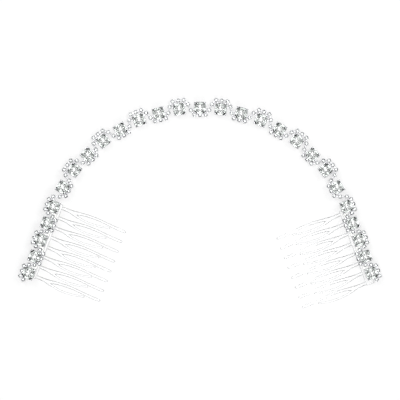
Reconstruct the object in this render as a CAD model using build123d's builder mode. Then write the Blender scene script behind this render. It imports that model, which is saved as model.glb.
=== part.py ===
"""Rhinestone hair chain with a clear plastic side comb at each end.

The chain lies flat in an arch: a serpentine row of small round cup settings with one large
square setting in every bay. The origin is on the table under the middle of the object, X runs
to the wearer's left-right, Y points to the crown of the arch and Z is up. All sizes are in mm.
"""

from build123d import *
import os
from math import asin, atan2, cos, degrees, hypot, radians, sin

os.makedirs("parts", exist_ok=True)

# ---- the line that the large stones stand on -------------------------------------------------
arch_radius = 82.0
arch_step = 7.55  # degrees between neighbouring large stones on the arch
crown_y = 49.4  # the crown stone's centre, which puts the origin under the middle of the object
last_free = 8  # clusters 1 to 8 on each side hang free, and 9 to 13 sit on the comb
last_cluster = 13
tail_pitch = 9.2  # large stones stand closer together on the comb
tail_heading = 69.5  # degrees that the chain on the comb has turned from the crown

# ---- large square settings -------------------------------------------------------------------
large_size = 6.3
large_corner = 1.2
gallery_size = 4.9  # the narrow lower part, which lets the small cups tuck under the edge
gallery_corner = 0.9
gallery_top = 1.9
flare_top = 2.35
hollow_top = 1.75
large_rim = 2.95
wall = 0.4
claw_radius = 0.3
claw_spot = 2.76
claw_tip_radius = 0.4
claw_tip_spot = 2.62
claw_tip_height = 3.25
large_stone_size = 5.7
large_stone_corner = 1.1
culet_size = 1.4
culet_corner = 0.35
culet_height = 0.6
girdle_bottom = 2.5
girdle_top = 2.8
table_size = 3.6
table_corner = 0.7
large_table = 3.9
hollow_size = gallery_size - 2 * wall
hollow_corner = gallery_corner - wall / 2
seat_size = large_stone_size + 0.1  # a little room round the large stone's girdle

# ---- small round settings --------------------------------------------------------------------
cup_radius = 1.05
cup_rim_radius = 1.15
cup_flare = 1.0
cup_rim = 1.7
seat_radius = 0.98
seat_floor = 1.15
small_stone_radius = 0.95
small_base_radius = 0.6
small_girdle_bottom = 1.5
small_girdle_top = 1.65
small_table_radius = 0.55
small_table = 2.1

# ---- where the small cups stand around a large stone: (along the chain, out from its line) -----
arch_flank = (4.8, 1.55)
arch_shoulder = (2.95, 4.0)
arch_middle = (0.0, 4.1)
wave_shift = 0.5  # the middle of the serpentine lies this far outside the large stones' line
tail_flank = (4.15, 1.4)
tail_shoulder = (2.75, 3.6)
tail_middle = (0.0, 3.75)
tie_width = 0.7  # flat bars that join the cups to each other and to the large setting
tie_thickness = 0.5

# ---- swivel links between the clusters ---------------------------------------------------------
pivot_height = 0.72
tongue_thickness = 0.32
tongue_radius = 0.36
tongue_length = 1.2  # from the pin back into the cup
pin_radius = 0.18
running_gap = 0.04
end_gap = 0.05
eye_radius = 0.38
eye_top = 0.4
pin_head_radius = 0.32
pin_head_thickness = 0.17
cross_pin_end = 1.12
knob_radius = 0.28
knob_thickness = 0.16

# ---- combs -------------------------------------------------------------------------------------
tooth_count = 8
tooth_pitch = 5.44
tooth_length = 35.4
tooth_root = 4.4  # from the large stones' line in to the roots of the teeth
spine_width = 4.3
spine_thickness = 1.6
spine_overhang = 1.5
spine_round = 0.5
adhesive_thickness = 0.3
adhesive_width = 3.4
first_tooth = {"left": -1.0, "right": 2.6}  # along the chain from cluster 9
tooth_sink = 1.0  # how far a tooth's solid runs back into the spine
crotch = 9.2
arch_at = 17.0
tooth_rise = 1.7
tooth_blank = 4.0  # height of the block that a tooth's side view is cut from

chain_lift = spine_thickness + adhesive_thickness
ramp_start = 6  # the chain climbs onto the comb after this cluster
ramp_clearance = 0.05


def side_of(index):
    """The small cups stand inside the arch on even clusters and outside it on odd ones."""
    return 1 if index % 2 else -1


def gap_height(index):
    """Height of the chain's underside between this cluster and the next one out."""
    climbed = max(0, min(index - ramp_start, last_free - ramp_start))
    return chain_lift * climbed / (last_free - ramp_start)


def cluster_plane(index):
    """Plane of a cluster: X along the chain away from the crown, Y out of the arch."""
    turned = radians(min(index, last_free + 1) * arch_step)
    heading = radians(tail_heading) if index > last_free else turned
    along = Vector(cos(heading), -sin(heading), 0)
    spot = Vector(arch_radius * sin(turned), crown_y - arch_radius * (1 - cos(turned)), 0)
    spot += along * max(0, index - last_free - 1) * tail_pitch
    if index > last_free:
        return Plane(origin=spot + Vector(0, 0, chain_lift), x_dir=along, z_dir=(0, 0, 1))
    if index == 0:
        return Plane(origin=spot, x_dir=along, z_dir=(0, 0, 1))
    climb = gap_height(index) - gap_height(index - 1)
    height = (gap_height(index) + gap_height(index - 1)) / 2
    if climb > 0:
        height += ramp_clearance
    tilt = asin(climb / (2 * arch_radius * sin(radians(arch_step) / 2)))
    return Plane(
        origin=spot + Vector(0, 0, height),
        x_dir=along * cos(tilt) + Vector(0, 0, sin(tilt)),
        z_dir=Vector(0, 0, cos(tilt)) - along * sin(tilt),
    )


def cup_spots(index):
    """Places of a cluster's five small cups, in the order in which the chain runs."""
    side = side_of(index)
    middle, shoulder, flank = arch_middle, arch_shoulder, arch_flank
    shift = wave_shift
    if index > last_free:
        middle, shoulder, flank = tail_middle, tail_shoulder, tail_flank
        shift = 0.0
    spots = [
        (-flank[0], side * flank[1] + shift),
        (-shoulder[0], side * shoulder[1] + shift),
        (middle[0], side * middle[1] + shift),
        (shoulder[0], side * shoulder[1] + shift),
        (flank[0], side * flank[1] + shift),
    ]
    if index == last_free + 1:
        spots[0] = (-arch_flank[0], side * arch_flank[1] + wave_shift)
    return spots


def pivot_plane(index):
    """Plane of the link that follows a cluster: X crosses from its last cup to the next one's."""
    before = cluster_plane(index).from_local_coords(Vector(*cup_spots(index)[-1], 0))
    after = cluster_plane(index + 1).from_local_coords(Vector(*cup_spots(index + 1)[0], 0))
    middle = (before + after) * 0.5
    across = Vector(after.X - before.X, after.Y - before.Y, 0)
    origin = Vector(middle.X, middle.Y, gap_height(index) + pivot_height)
    return Plane(origin=origin, x_dir=across, z_dir=(0, 0, 1))


def write(part, name):
    """Label one finished node and save it as a STEP file."""
    part.label = name
    export_step(part, f"parts/{name}.step")


# ---- pieces that repeat, built once at the origin ------------------------------------------------
with BuildPart() as small_cup:
    with BuildSketch(Plane.XZ):
        with BuildLine():
            Polyline(
                (0, 0),
                (cup_radius, 0),
                (cup_radius, cup_flare),
                (cup_rim_radius, cup_rim),
                (seat_radius, cup_rim),
                (seat_radius, seat_floor),
                (0, seat_floor),
                close=True,
            )
        make_face()
    revolve(axis=Axis.Z)

with BuildPart() as small_stone:
    with BuildSketch(Plane.XZ):
        with BuildLine():
            Polyline(
                (0, seat_floor),
                (small_base_radius, seat_floor),
                (small_stone_radius, small_girdle_bottom),
                (small_stone_radius, small_girdle_top),
                (small_table_radius, small_table),
                (0, small_table),
                close=True,
            )
        make_face()
    revolve(axis=Axis.Z)

with BuildPart() as large_cup:
    with BuildSketch():
        RectangleRounded(gallery_size, gallery_size, gallery_corner)
    extrude(amount=gallery_top)
    with BuildSketch(Plane.XY.offset(gallery_top)):
        RectangleRounded(gallery_size, gallery_size, gallery_corner)
    with BuildSketch(Plane.XY.offset(flare_top)):
        RectangleRounded(large_size, large_size, large_corner)
    loft()
    with BuildSketch(Plane.XY.offset(flare_top)):
        RectangleRounded(large_size, large_size, large_corner)
    extrude(amount=large_rim - flare_top)
    with GridLocations(2 * claw_spot, 2 * claw_spot, 2, 2):
        with Locations((0, 0, flare_top)):
            Cylinder(
                claw_radius,
                claw_tip_height - flare_top,
                align=(Align.CENTER, Align.CENTER, Align.MIN),
            )
    with GridLocations(2 * claw_tip_spot, 2 * claw_tip_spot, 2, 2):
        with Locations((0, 0, claw_tip_height)):
            Sphere(claw_tip_radius)
    # the hollow: a straight gallery under a flared seat that follows the stone
    with BuildSketch(Plane.XY.offset(wall)):
        RectangleRounded(hollow_size, hollow_size, hollow_corner)
    extrude(amount=hollow_top - wall, mode=Mode.SUBTRACT)
    with BuildSketch(Plane.XY.offset(hollow_top)):
        RectangleRounded(hollow_size, hollow_size, hollow_corner)
    with BuildSketch(Plane.XY.offset(girdle_bottom)):
        RectangleRounded(seat_size, seat_size, large_stone_corner)
    loft(mode=Mode.SUBTRACT)
    with BuildSketch(Plane.XY.offset(girdle_bottom)):
        RectangleRounded(seat_size, seat_size, large_stone_corner)
    extrude(amount=large_rim - girdle_bottom, mode=Mode.SUBTRACT)

with BuildPart() as large_stone:
    with BuildSketch(Plane.XY.offset(culet_height)):
        RectangleRounded(culet_size, culet_size, culet_corner)
    with BuildSketch(Plane.XY.offset(girdle_bottom)):
        RectangleRounded(large_stone_size, large_stone_size, large_stone_corner)
    loft()
    with BuildSketch(Plane.XY.offset(girdle_bottom)):
        RectangleRounded(large_stone_size, large_stone_size, large_stone_corner)
    extrude(amount=girdle_top - girdle_bottom)
    with BuildSketch(Plane.XY.offset(girdle_top)):
        RectangleRounded(large_stone_size, large_stone_size, large_stone_corner)
    with BuildSketch(Plane.XY.offset(large_table)):
        RectangleRounded(table_size, table_size, table_corner)
    loft()


# ---- one cluster: a large setting, its five small cups and the bars that join them ---------------
def build_cluster(index):
    """The metal of one cluster, without its hinge details."""
    spots = cup_spots(index)
    inward = [(spot, (0, 0)) for spot in spots]
    clear = hollow_size - 2 * hollow_corner
    with BuildPart(cluster_plane(index)) as cluster:
        add(large_cup.part)
        with Locations(*spots):
            add(small_cup.part)
        for start, end in [*zip(spots, spots[1:]), *inward]:
            run = (end[0] - start[0], end[1] - start[1])
            with Locations(Location((*start, 0), (0, 0, degrees(atan2(run[1], run[0]))))):
                Box(hypot(*run), tie_width, tie_thickness, align=(Align.MIN, Align.CENTER, Align.MIN))
        # the bars stop at the gallery's wall
        with Locations((0, 0, wall + tie_thickness / 2)):
            Box(clear, clear, tie_thickness, mode=Mode.SUBTRACT)
    return cluster.part


def build_stones(index):
    """One cluster's six crystals, each a solid of its own."""
    with BuildPart(cluster_plane(index)) as stones:
        add(large_stone.part)
        with Locations(*cup_spots(index)):
            add(small_stone.part)
    return stones.part


# ---- the swivel links: an upright pin on one cluster, a socket in the next, the link between ------
def build_tongue(index):
    """The tongue, upright pin and pin head that reach out of a cluster's last cup."""
    plane = pivot_plane(index)
    foot = plane.offset(-pivot_height)
    with BuildPart() as tongue:
        with BuildSketch(foot):
            Circle(tongue_radius)
            Rectangle(tongue_length, 2 * tongue_radius, align=(Align.MAX, Align.CENTER))
        extrude(amount=tongue_thickness)
        with BuildSketch(foot):
            Circle(pin_radius)
        extrude(amount=pivot_height + eye_top + end_gap + pin_head_thickness)
        with BuildSketch(plane.offset(eye_top + end_gap)):
            Circle(pin_head_radius)
        extrude(amount=pin_head_thickness)
    return tongue.part


def build_socket(index):
    """The hole and the wider pocket that a link's cross pin and its knob turn in."""
    plane = pivot_plane(index)
    across = Plane(origin=plane.origin, x_dir=plane.z_dir, z_dir=plane.x_dir)
    with BuildPart() as socket:
        with BuildSketch(across):
            Circle(pin_radius + running_gap)
        extrude(amount=cross_pin_end)
        with BuildSketch(across.offset(cross_pin_end - knob_thickness - end_gap)):
            Circle(knob_radius + running_gap)
        extrude(amount=knob_thickness + 2 * end_gap)
    return socket.part


def build_link(index):
    """The swivel link after a cluster: an eye on an upright pin, with a knobbed cross pin."""
    plane = pivot_plane(index)
    across = Plane(origin=plane.origin, x_dir=plane.z_dir, z_dir=plane.x_dir)
    eye_bottom = tongue_thickness + end_gap - pivot_height
    with BuildPart() as link:
        with BuildSketch(plane.offset(eye_bottom)):
            Circle(eye_radius)
        extrude(amount=eye_top - eye_bottom)
        with BuildSketch(across):
            Circle(pin_radius)
        extrude(amount=cross_pin_end)
        with BuildSketch(across.offset(cross_pin_end - knob_thickness)):
            Circle(knob_radius)
        extrude(amount=knob_thickness)
        with BuildSketch(plane.offset(-pivot_height)):
            Circle(pin_radius + running_gap)
        extrude(amount=2 * pivot_height, mode=Mode.SUBTRACT)
    return link.part


def build_setting(index):
    """One free cluster's metal on the right-hand side, with its tongue and its socket."""
    with BuildPart() as setting:
        add(build_cluster(index))
        add(build_tongue(index))
        add(build_socket(index - 1), mode=Mode.SUBTRACT)
    return setting.part


def build_crown():
    """The middle cluster's metal: a tongue on each side and no socket."""
    with BuildPart() as crown:
        add(build_cluster(0))
        add(build_tongue(0))
        mirror(build_tongue(0), about=Plane.YZ)
    return crown.part


# ---- the five clusters that sit on a comb ------------------------------------------------------------
def build_end_settings():
    """Five clusters in a row on the comb, joined by short bars, with the last link's socket."""
    with BuildPart() as row:
        for index in range(last_free + 1, last_cluster + 1):
            add(build_cluster(index))
        for index in range(last_free + 1, last_cluster):
            plane = cluster_plane(index)
            start = plane.from_local_coords(Vector(*cup_spots(index)[-1], 0))
            end = cluster_plane(index + 1).from_local_coords(Vector(*cup_spots(index + 1)[0], 0))
            with BuildSketch(Plane(origin=start, x_dir=end - start, z_dir=(0, 0, 1))):
                Rectangle((end - start).length, tie_width, align=(Align.MIN, Align.CENTER))
            extrude(amount=tie_thickness)
        add(build_socket(last_free), mode=Mode.SUBTRACT)
    return row.part


def build_end_stones():
    """The crystals of the five clusters on the comb."""
    with BuildPart() as row:
        for index in range(last_free + 1, last_cluster + 1):
            add(build_stones(index))
    return row.part


# ---- the comb: X runs along the spine away from the crown, Y towards the chain -----------------------
def comb_plane(shift):
    """Plane on the table with its origin at the root of the comb's first tooth."""
    first = cluster_plane(last_free + 1)
    start = first.origin + first.x_dir * shift - first.y_dir * tooth_root
    return Plane(origin=(start.X, start.Y, 0), x_dir=first.x_dir, z_dir=(0, 0, 1))


with BuildPart() as tooth:
    # outline seen from above: the tooth points along -Y, with its long prong on the crown's side
    with BuildSketch():
        with BuildLine():
            Spline((-0.65, 0), (-0.6, -4.5), (-0.95, -9), (-1.43, -arch_at), (-0.75, -27), (-0.2, -34.6))
            ThreePointArc((-0.2, -34.6), (0.4, -tooth_length), (1.0, -34.6))
            Spline((1.0, -34.6), (0.85, -29), (0.35, -25), (-0.05, -18), (0.2, -12.5), (0.6, -9.7))
            ThreePointArc((0.6, -9.7), (0.98, -crotch), (1.35, -9.7))
            Spline((1.35, -9.7), (2.05, -14), (2.1, -18), (1.7, -22.5), (0.85, -26.3))
            ThreePointArc((0.85, -26.3), (1.25, -27), (1.8, -26.4))
            Spline((1.8, -26.4), (2.9, -21), (3.15, -15), (2.3, -8.5), (1.3, -4), (1.05, 0))
            Polyline((1.05, 0), (1.05, tooth_sink), (-0.65, tooth_sink), (-0.65, 0))
        make_face()
    extrude(amount=tooth_blank)
    # side view: the tooth arches up from the spine and comes down to the table at its tip
    with BuildSketch(Plane.YZ.offset(-tooth_pitch)):
        with BuildLine():
            ThreePointArc(
                (tooth_sink, 0.15), (-arch_at, tooth_rise), (-tooth_length - 0.2, 0)
            )
            Line((-tooth_length - 0.2, 0), (-tooth_length - 0.2, 0.8))
            ThreePointArc(
                (-tooth_length - 0.2, 0.8), (-arch_at, tooth_rise + 1.15), (tooth_sink, 1.4)
            )
            Line((tooth_sink, 1.4), (tooth_sink, 0.15))
        make_face()
    extrude(amount=2 * tooth_pitch, mode=Mode.INTERSECT)


def build_comb(shift):
    """One clear comb: a rounded spine with eight forked teeth."""
    length = (tooth_count - 1) * tooth_pitch + 2 * spine_overhang
    with BuildPart(comb_plane(shift)) as comb:
        with Locations((length / 2 - spine_overhang, spine_width / 2, spine_thickness / 2)):
            Box(length, spine_width, spine_thickness)
        fillet(comb.edges(), spine_round)
        with Locations(*[(count * tooth_pitch, 0, 0) for count in range(tooth_count)]):
            add(tooth.part)
    return comb.part


def build_adhesive():
    """The clear bed that holds the chain's five clusters on top of the spine."""
    first = cluster_plane(last_free + 1)
    length = (last_cluster - last_free - 1) * tail_pitch + gallery_size
    bed = Plane(origin=first.origin, x_dir=first.x_dir, z_dir=(0, 0, 1)).offset(-adhesive_thickness)
    with BuildPart(bed) as adhesive:
        with Locations((length / 2 - gallery_size / 2, -adhesive_width / 2, 0)):
            Box(length, adhesive_width, adhesive_thickness, align=(Align.CENTER, Align.CENTER, Align.MIN))
    return adhesive.part


# ---- write every node ------------------------------------------------------------------------------
def write_pair(part, name):
    """Save a right-hand node and its mirror image on the left."""
    left = mirror(part, about=Plane.YZ)
    write(left, name.replace("SIDE", "left"))
    write(part, name.replace("SIDE", "right"))


write(build_crown(), "setting_crown")
write(build_stones(0), "stones_crown")
for number in range(1, last_free + 1):
    write_pair(build_setting(number), f"setting_SIDE_{number}")
    write_pair(build_stones(number), f"stones_SIDE_{number}")
for number in range(last_free + 1):
    write_pair(build_link(number), f"link_SIDE_{number + 1}")
write_pair(build_end_settings(), "end_settings_SIDE")
write_pair(build_end_stones(), "end_stones_SIDE")
write_pair(build_adhesive(), "adhesive_SIDE")
write(build_comb(first_tooth["right"]), "comb_right")
write(mirror(build_comb(first_tooth["left"]), about=Plane.YZ), "comb_left")
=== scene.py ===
"""Looks of the rhinestone hair chain and its two clear side combs.

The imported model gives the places. Each class below makes one kind of sub-assembly as closed
surfaces, dresses it in its finishes and lets it ride on its body. All sizes are in metres.
"""
import logging
from dataclasses import dataclass, field
from enum import Enum
from math import asin, cos, pi, radians, sin

import bmesh
import bpy
import numpy as np
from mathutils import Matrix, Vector


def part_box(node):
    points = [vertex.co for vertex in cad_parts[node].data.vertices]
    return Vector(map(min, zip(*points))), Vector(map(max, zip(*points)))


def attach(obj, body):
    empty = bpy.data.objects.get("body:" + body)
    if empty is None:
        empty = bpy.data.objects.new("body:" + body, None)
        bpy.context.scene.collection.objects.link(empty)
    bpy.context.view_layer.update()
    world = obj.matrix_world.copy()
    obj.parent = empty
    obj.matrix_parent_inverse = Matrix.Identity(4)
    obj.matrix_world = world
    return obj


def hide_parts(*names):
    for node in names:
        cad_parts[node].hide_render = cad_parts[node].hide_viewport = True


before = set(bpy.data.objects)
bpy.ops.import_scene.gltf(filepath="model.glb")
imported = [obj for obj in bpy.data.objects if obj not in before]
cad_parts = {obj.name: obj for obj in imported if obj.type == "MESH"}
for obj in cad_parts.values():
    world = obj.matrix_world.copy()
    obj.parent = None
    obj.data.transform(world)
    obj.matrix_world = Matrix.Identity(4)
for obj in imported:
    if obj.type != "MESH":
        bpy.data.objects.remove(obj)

MM = 0.001
SEED = 7

log = logging.getLogger("hair_chain")


class Side(Enum):
    """The half of the arch that a piece belongs to. The value is the sign of its X."""

    LEFT = -1
    RIGHT = 1

    @property
    def word(self) -> str:
        """The side's name as node names spell it."""
        return self.name.lower()


class Slot(Enum):
    """Material slots of the record."""

    SILVER = "silver_plate"
    CRYSTAL = "crystal"
    CLEAR = "clear_plastic"
    GLUE = "adhesive"


# ---- places ------------------------------------------------------------------------------------
@dataclass(frozen=True)
class Place:
    """An origin and three square axes."""

    origin: np.ndarray
    x: np.ndarray
    y: np.ndarray
    z: np.ndarray

    def put(self, points: np.ndarray) -> np.ndarray:
        """Local points, in an array of any shape that ends in three, put into the model."""
        return self.origin + points @ np.stack([self.x, self.y, self.z])


def place_along(origin: np.ndarray, x: np.ndarray, up: np.ndarray) -> Place:
    """A place whose X follows one direction and whose Z is as near to another as it can be.

    Args:
        origin: where it is.
        x: direction of its X axis, of any length.
        up: rough direction of its Z axis.

    Returns:
        The place, with axes of length one.
    """
    x = x / np.linalg.norm(x)
    y = np.cross(up, x)
    y = y / np.linalg.norm(y)
    return Place(np.asarray(origin, float), x, y, np.cross(x, y))


UP = np.array([0.0, 0.0, 1.0])


@dataclass(frozen=True)
class ChainLine:
    """The arch that the large stones stand on, with the same driving sizes as the model."""

    arch_radius: float = 82.0 * MM
    arch_step: float = radians(7.55)
    crown_y: float = 49.4 * MM
    last_free: int = 8
    last_cluster: int = 13
    tail_pitch: float = 9.2 * MM
    tail_heading: float = radians(69.5)
    chain_lift: float = 1.9 * MM
    ramp_start: int = 6
    ramp_clearance: float = 0.05 * MM
    wave_shift: float = 0.5 * MM
    arch_flank: tuple[float, float] = (4.8 * MM, 1.55 * MM)
    arch_shoulder: tuple[float, float] = (2.95 * MM, 4.0 * MM)
    arch_middle: float = 4.1 * MM
    tail_flank: tuple[float, float] = (4.15 * MM, 1.4 * MM)
    tail_shoulder: tuple[float, float] = (2.75 * MM, 3.6 * MM)
    tail_middle: float = 3.75 * MM
    pivot_height: float = 0.72 * MM

    def gap_height(self, index: int) -> float:
        """Height of the chain's underside between this cluster and the next one out."""
        ramp = self.last_free - self.ramp_start
        return self.chain_lift * min(max(index - self.ramp_start, 0), ramp) / ramp

    def cluster(self, index: int) -> Place:
        """A right-hand cluster's place: X along the chain away from the crown, Y out of the arch.

        Args:
            index: the cluster, counted from the crown.

        Returns:
            Its place, with the origin under the middle of its large stone.
        """
        turned = min(index, self.last_free + 1) * self.arch_step
        heading = self.tail_heading if index > self.last_free else turned
        along = np.array([cos(heading), -sin(heading), 0.0])
        spot = np.array([sin(turned), cos(turned) - 1, 0.0]) * self.arch_radius
        spot = spot + [0, self.crown_y, 0]
        spot = spot + along * max(0, index - self.last_free - 1) * self.tail_pitch
        if index > self.last_free:
            return place_along(spot + UP * self.chain_lift, along, UP)
        before = self.gap_height(index - 1)
        climb = self.gap_height(index) - before
        height = before + climb / 2 + (self.ramp_clearance if climb > 0 else 0)
        tilt = asin(climb / (2 * self.arch_radius * sin(self.arch_step / 2)))
        return place_along(spot + UP * height, along * cos(tilt) + UP * sin(tilt), UP)

    def cup_spots(self, index: int) -> np.ndarray:
        """Places of a cluster's five small cups.

        Args:
            index: the cluster, counted from the crown.

        Returns:
            Their X and Y in the cluster's place, in the chain's order.
        """
        out = 1 if index % 2 else -1
        on_comb = index > self.last_free
        flank, shoulder, middle = self.arch_flank, self.arch_shoulder, self.arch_middle
        shift = self.wave_shift
        if on_comb:
            flank, shoulder, middle, shift = self.tail_flank, self.tail_shoulder, self.tail_middle, 0.0
        spots = np.array([
            (-flank[0], out * flank[1] + shift),
            (-shoulder[0], out * shoulder[1] + shift),
            (0.0, out * middle + shift),
            (shoulder[0], out * shoulder[1] + shift),
            (flank[0], out * flank[1] + shift),
        ])
        if index == self.last_free + 1:
            spots[0] = (-self.arch_flank[0], out * self.arch_flank[1] + self.wave_shift)
        return spots

    def cup_point(self, index: int, cup: int) -> np.ndarray:
        """The foot of one small cup in the model."""
        return self.cluster(index).put(np.append(self.cup_spots(index)[cup], 0.0))

    def pivot(self, index: int) -> Place:
        """Place of the swivel link after a cluster, with X from its last cup to the next one's first.

        Args:
            index: the cluster, counted from the crown.

        Returns:
            The place, with the origin where the link's two axes cross.
        """
        before, after = self.cup_point(index, -1), self.cup_point(index + 1, 0)
        middle = (before + after) / 2
        middle[2] = self.gap_height(index) + self.pivot_height
        return place_along(middle, (after - before) * [1, 1, 0], UP)


# ---- surfaces ----------------------------------------------------------------------------------
@dataclass
class Shell:
    """Closed surfaces gathered for one piece, with a finish number for every face."""

    points: list[np.ndarray] = field(default_factory=list)
    faces: list[list[int]] = field(default_factory=list)
    finish: list[int] = field(default_factory=list)
    count: int = 0

    def add(self, points: np.ndarray, blocks: list[np.ndarray], finishes: list[int] | None = None) -> None:
        """Add one surface.

        Args:
            points: its points, one a row.
            blocks: arrays of faces as point numbers, each array with faces of one length.
            finishes: the number of the finish that each block takes, or None for the first finish.
        """
        self.points.append(points)
        for block, finish in zip(blocks, finishes or [0] * len(blocks)):
            self.faces.extend((block + self.count).tolist())
            self.finish.extend([finish] * len(block))
        self.count += len(points)


def skin(rings: np.ndarray) -> tuple[np.ndarray, list[np.ndarray]]:
    """A closed skin over rings of points: quads join each ring to the next one, and a fan of
    triangles closes each end on the middle of its ring.

    Args:
        rings: array of ring, point around it, and coordinate.

    Returns:
        The points and the blocks of faces.
    """
    count, around = rings.shape[:2]
    points = np.concatenate([rings.reshape(-1, 3), rings[:1].mean(axis=1), rings[-1:].mean(axis=1)])
    here = np.arange(count * around).reshape(count, around)
    after = np.roll(here, -1, axis=1)
    quads = np.stack([here[:-1], after[:-1], after[1:], here[1:]], axis=-1).reshape(-1, 4)
    first = np.stack([after[0], here[0], np.full(around, count * around)], axis=-1)
    last = np.stack([here[-1], after[-1], np.full(around, count * around + 1)], axis=-1)
    return points, [quads, first, last]


def hoop(rings: np.ndarray) -> tuple[np.ndarray, list[np.ndarray]]:
    """A closed skin whose last ring joins its first one again, so that it has no ends.

    Args:
        rings: array of ring, point around it, and coordinate.

    Returns:
        The points and the block of faces.
    """
    count, around = rings.shape[:2]
    here = np.arange(count * around).reshape(count, around)
    after = np.roll(here, -1, axis=1)
    onward = np.roll(here, -1, axis=0)
    both = np.roll(after, -1, axis=0)
    return rings.reshape(-1, 3), [np.stack([here, after, both, onward], axis=-1).reshape(-1, 4)]


def rounded_square(size: float, corner: float, steps: int = 5) -> np.ndarray:
    """Outline of a square with round corners: the corner's centre plus the corner's radius times
    the cosine and sine of an angle that runs over its quarter turn.

    Args:
        size: width over the flats.
        corner: radius of a corner.
        steps: points on each corner.

    Returns:
        Points of the outline, anticlockwise.
    """
    quarter = np.arange(4) * pi / 2
    angle = quarter[:, None] + np.linspace(0, pi / 2, steps)[None, :]
    middle = np.stack([np.cos(quarter + pi / 4), np.sin(quarter + pi / 4)], axis=-1)
    middle = middle * (size / 2 - corner) * np.sqrt(2)
    outline = middle[:, None, :] + corner * np.stack([np.cos(angle), np.sin(angle)], axis=-1)
    return outline.reshape(-1, 2)


def square_rings(profile: np.ndarray) -> np.ndarray:
    """Rings of rounded squares stacked up a profile.

    Args:
        profile: width, corner radius and height of each ring.

    Returns:
        Array of ring, point around it, and coordinate.
    """
    return np.stack([
        np.column_stack([outline, np.full(len(outline), height)])
        for outline, height in ((rounded_square(size, corner), height) for size, corner, height in profile)
    ])


def turned(profile: np.ndarray, around: int, offset: float = 0.0) -> np.ndarray:
    """Rings of a shape turned on a lathe: radius times the cosine and sine of the angle, and height.

    Args:
        profile: radius and height of each ring.
        around: points on each ring.
        offset: angle of the first point.

    Returns:
        Rings of points about the Z axis.
    """
    angle = offset + np.arange(around) * 2 * pi / around
    radius, height = profile[:, :1], profile[:, 1:]
    return np.stack(
        [radius * np.cos(angle), radius * np.sin(angle), height + 0 * angle], axis=-1
    )


def tube(path: np.ndarray, radii: np.ndarray, across: np.ndarray, around: int) -> np.ndarray:
    """Rings carried along a flat path: each is the path's point plus the radius times the cosine of
    the angle across the path and its sine at right angles to both.

    Args:
        path: points of the path.
        radii: radius at each point.
        across: direction square to the path's plane.
        around: points on each ring.

    Returns:
        Rings of points.
    """
    ahead = np.gradient(path, axis=0)
    ahead = ahead / np.linalg.norm(ahead, axis=1, keepdims=True)
    across = np.broadcast_to(across, ahead.shape)
    third = np.cross(ahead, across)
    angle = np.arange(around) * 2 * pi / around
    cosine, sine = np.cos(angle)[None, :, None], np.sin(angle)[None, :, None]
    wheel = across[:, None, :] * cosine + third[:, None, :] * sine
    return path[:, None, :] + radii[:, None, None] * wheel


def bar(start: np.ndarray, end: np.ndarray, width: float, thickness: float) -> np.ndarray:
    """Rings of a flat bar with rounded edges, lying on its underside between two points: a
    superellipse carried straight from one end to the other.

    Args:
        start: middle of the underside at one end.
        end: middle of the underside at the other.
        width: width of the bar.
        thickness: height of the bar.

    Returns:
        Rings of points.
    """
    angle = np.arange(12) * 2 * pi / 12
    squarish = 0.6
    side = np.sign(np.cos(angle)) * np.abs(np.cos(angle)) ** squarish * width / 2
    rise = (np.sign(np.sin(angle)) * np.abs(np.sin(angle)) ** squarish + 1) * thickness / 2
    way = place_along(start, end - start, UP)
    section = side[:, None] * way.y + rise[:, None] * way.z
    return np.stack([start + section, end + section])


def through(knots: np.ndarray, at: np.ndarray) -> np.ndarray:
    """A smooth curve through knots: cubic spans that share the slopes found at the knots.

    Args:
        knots: position and value of each knot.
        at: positions where the curve is wanted.

    Returns:
        The value at each position.
    """
    where, value = knots[:, 0], knots[:, 1]
    slope = np.gradient(value, where)
    span = np.clip(np.searchsorted(where, at) - 1, 0, len(where) - 2)
    width = where[span + 1] - where[span]
    t = (at - where[span]) / width
    return (
        (2 * t**3 - 3 * t**2 + 1) * value[span]
        + (t**3 - 2 * t**2 + t) * width * slope[span]
        + (3 * t**2 - 2 * t**3) * value[span + 1]
        + (t**3 - t**2) * width * slope[span + 1]
    )


def smooth_step(low: float, high: float, at: np.ndarray) -> np.ndarray:
    """Zero below one position and one above another, with an even S between them."""
    t = np.clip((at - low) / (high - low), 0, 1)
    return t * t * (3 - 2 * t)


def round_end(start: float, end: float, at: np.ndarray) -> np.ndarray:
    """One before the start of a round end and zero at its tip, along a quarter of an ellipse."""
    return np.sqrt(1 - np.clip((at - start) / (end - start), 0, 1) ** 2)


# ---- materials ---------------------------------------------------------------------------------
def linear(code: str) -> tuple[float, float, float, float]:
    """An sRGB hex colour in the linear values that a node takes.

    Args:
        code: the colour, a hash sign and six hex digits.

    Returns:
        Linear red, green and blue, and alpha.
    """
    channels = np.array([int(code[i:i + 2], 16) for i in (1, 3, 5)]) / 255
    curve = np.where(channels <= 0.04045, channels / 12.92, ((channels + 0.055) / 1.055) ** 2.4)
    return (*curve.tolist(), 1.0)


def add_node(tree: bpy.types.NodeTree, kind: str, values: dict | None = None,
             links: dict | None = None, **settings: object) -> bpy.types.Node:
    """Add one node.

    Args:
        tree: the tree that it joins.
        kind: its type name.
        values: constants for its input sockets, by name or number.
        links: output sockets to link to its input sockets, by name or number.
        settings: attributes of the node itself.

    Returns:
        The node.
    """
    node = tree.nodes.new(kind)
    for name, value in settings.items():
        setattr(node, name, value)
    for socket, value in (values or {}).items():
        node.inputs[socket].default_value = value
    for socket, source in (links or {}).items():
        tree.links.new(source, node.inputs[socket])
    return node


def new_material(name: str) -> tuple[bpy.types.Material, bpy.types.NodeTree]:
    """An empty node material.

    Args:
        name: its name.

    Returns:
        The material and its node tree.
    """
    material = bpy.data.materials.new(name)
    material.use_nodes = True
    material.node_tree.nodes.clear()
    return material, material.node_tree


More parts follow.
